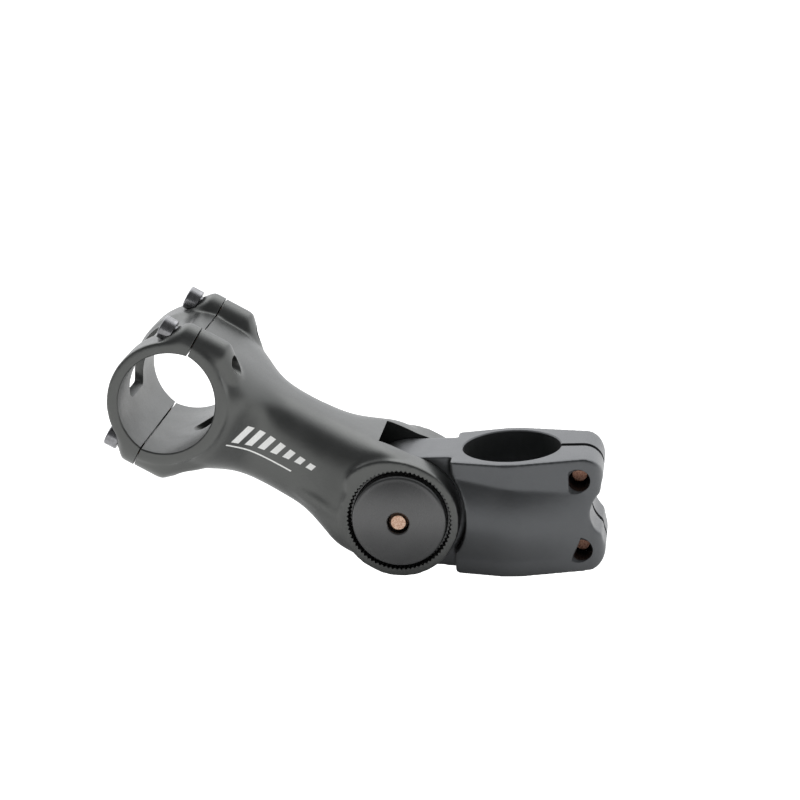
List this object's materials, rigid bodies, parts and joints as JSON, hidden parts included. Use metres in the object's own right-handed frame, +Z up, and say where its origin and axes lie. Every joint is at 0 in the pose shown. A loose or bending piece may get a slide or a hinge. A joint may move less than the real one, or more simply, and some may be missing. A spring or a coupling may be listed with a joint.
{
  "type": "adjustable handlebar stem",
  "caption": "Adjustable-angle threadless bicycle stem: split steerer clamp, forked arm tilting on a toothed pivot, and a faceplate clamp for the handlebar.",
  "frame": {"origin": "on the steerer tube's axis, at the lower face of the steerer clamp", "axes": "+Z up along the steerer axis, +X forward towards the handlebar, +Y towards the rider's left, across the stem"},
  "size_m": [0.1443, 0.0444, 0.0808],
  "materials": {
    "black_alloy_clamp": "fine satin black paint on cast and machined aluminium",
    "black_alloy_arm": "fine satin black paint on forged aluminium",
    "black_alloy_faceplate": "fine satin black paint on forged aluminium",
    "black_alloy_caps": "satin black on turned aluminium",
    "chromed_bolts": "bright plated steel, copper-coloured thread compound on the tips",
    "steel_washers": "plated steel"
  },
  "bodies": {
    "steerer_clamp": {"steerer_clamp": "black_alloy_clamp"},
    "extension_arm": {"extension_arm": "black_alloy_arm"},
    "handlebar_faceplate": {"handlebar_faceplate": "black_alloy_faceplate"},
    "faceplate_bolt_upper_left": {"faceplate_bolt_upper_left": "chromed_bolts"},
    "faceplate_bolt_upper_right": {"faceplate_bolt_upper_right": "chromed_bolts"},
    "faceplate_bolt_lower_left": {"faceplate_bolt_lower_left": "chromed_bolts"},
    "faceplate_bolt_lower_right": {"faceplate_bolt_lower_right": "chromed_bolts"},
    "pivot_cap_left": {"pivot_cap_left": "black_alloy_caps"},
    "pivot_cap_right": {"pivot_cap_right": "black_alloy_caps"},
    "pivot_bolt": {"pivot_bolt": "chromed_bolts", "pivot_washer": "steel_washers"},
    "pinch_bolt_upper": {"pinch_bolt_upper": "chromed_bolts", "pinch_washer_upper": "steel_washers"},
    "pinch_bolt_lower": {"pinch_bolt_lower": "chromed_bolts", "pinch_washer_lower": "steel_washers"}
  },
  "joints": [
    {"name": "arm_tilt", "type": "hinge", "parent": "steerer_clamp", "child": "extension_arm", "pos_m": [0.0321, 0, 0.018], "axis": [0, -1, 0], "range_deg": [-30.7, 29.3]},
    {"name": "faceplate_slide", "type": "slide", "parent": "extension_arm", "child": "handlebar_faceplate", "axis": [0.8599, 0, 0.5105], "range_m": [0, 0.008]},
    {"name": "faceplate_bolt_upper_left_travel", "type": "slide", "parent": "handlebar_faceplate", "child": "faceplate_bolt_upper_left", "axis": [0.8599, 0, 0.5105], "range_m": [0, 0.012]},
    {"name": "faceplate_bolt_upper_right_travel", "type": "slide", "parent": "handlebar_faceplate", "child": "faceplate_bolt_upper_right", "axis": [0.8599, 0, 0.5105], "range_m": [0, 0.012]},
    {"name": "faceplate_bolt_lower_left_travel", "type": "slide", "parent": "handlebar_faceplate", "child": "faceplate_bolt_lower_left", "axis": [0.8599, 0, 0.5105], "range_m": [0, 0.012]},
    {"name": "faceplate_bolt_lower_right_travel", "type": "slide", "parent": "handlebar_faceplate", "child": "faceplate_bolt_lower_right", "axis": [0.8599, 0, 0.5105], "range_m": [0, 0.012]},
    {"name": "pivot_cap_left_travel", "type": "slide", "parent": "extension_arm", "child": "pivot_cap_left", "axis": [0, 1, 0], "range_m": [0, 0.004]},
    {"name": "pivot_cap_right_travel", "type": "slide", "parent": "extension_arm", "child": "pivot_cap_right", "axis": [0, -1, 0], "range_m": [0, 0.004]},
    {"name": "pivot_bolt_travel", "type": "slide", "parent": "pivot_cap_right", "child": "pivot_bolt", "axis": [0, -1, 0], "range_m": [0, 0.01]},
    {"name": "pinch_bolt_upper_travel", "type": "slide", "parent": "steerer_clamp", "child": "pinch_bolt_upper", "axis": [0, -1, 0], "range_m": [0, 0.012]},
    {"name": "pinch_bolt_lower_travel", "type": "slide", "parent": "steerer_clamp", "child": "pinch_bolt_lower", "axis": [0, -1, 0], "range_m": [0, 0.012]}
  ]
}
